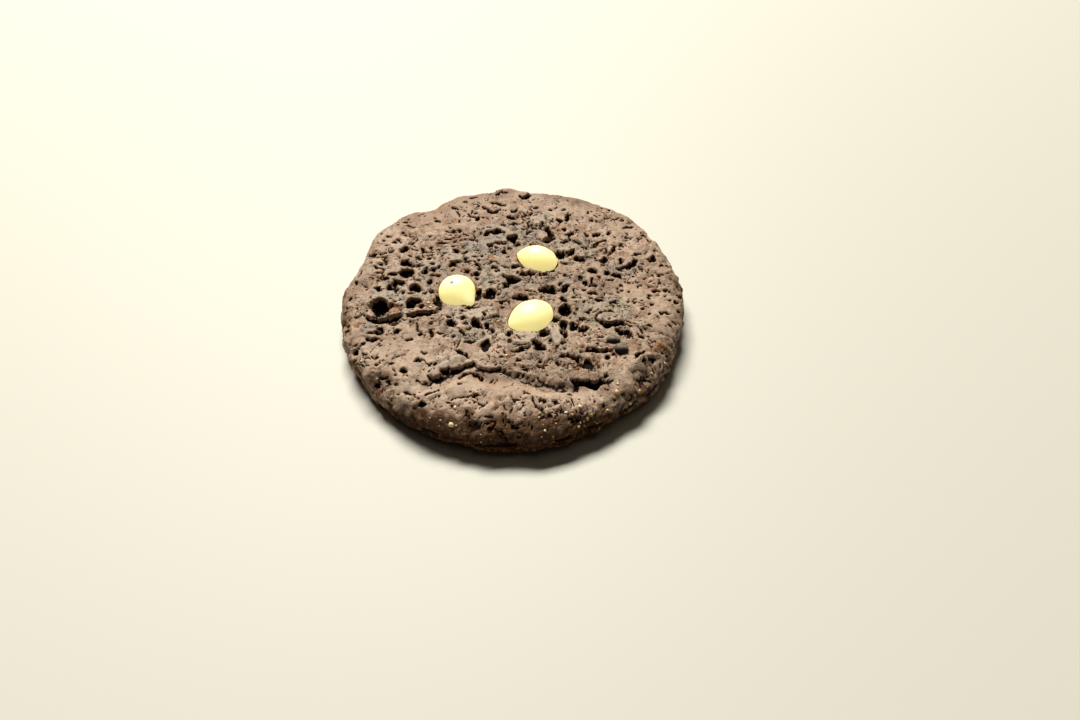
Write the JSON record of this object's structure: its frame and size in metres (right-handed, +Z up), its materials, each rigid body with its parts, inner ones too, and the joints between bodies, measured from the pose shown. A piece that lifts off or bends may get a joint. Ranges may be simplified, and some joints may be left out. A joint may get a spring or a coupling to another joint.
{
  "type": "chocolate cookie",
  "caption": "Round baked dark chocolate cookie with a craggy pitted top, a smooth front lip and white chocolate drops half sunk in it.",
  "frame": {"origin": "centre of the underside, where the cookie rests on a surface", "axes": "+Z up out of the craggy top, +Y towards the back of the cookie, away from the smooth front lip, +X to its right"},
  "size_m": [0.093, 0.0947, 0.0133],
  "materials": {
    "dough": "matte",
    "white_chocolate": "satin"
  },
  "bodies": {
    "root": {"cookie": "dough", "white_chip_left": "white_chocolate", "white_chip_back": "white_chocolate", "white_chip_front": "white_chocolate"}
  },
  "joints": []
}
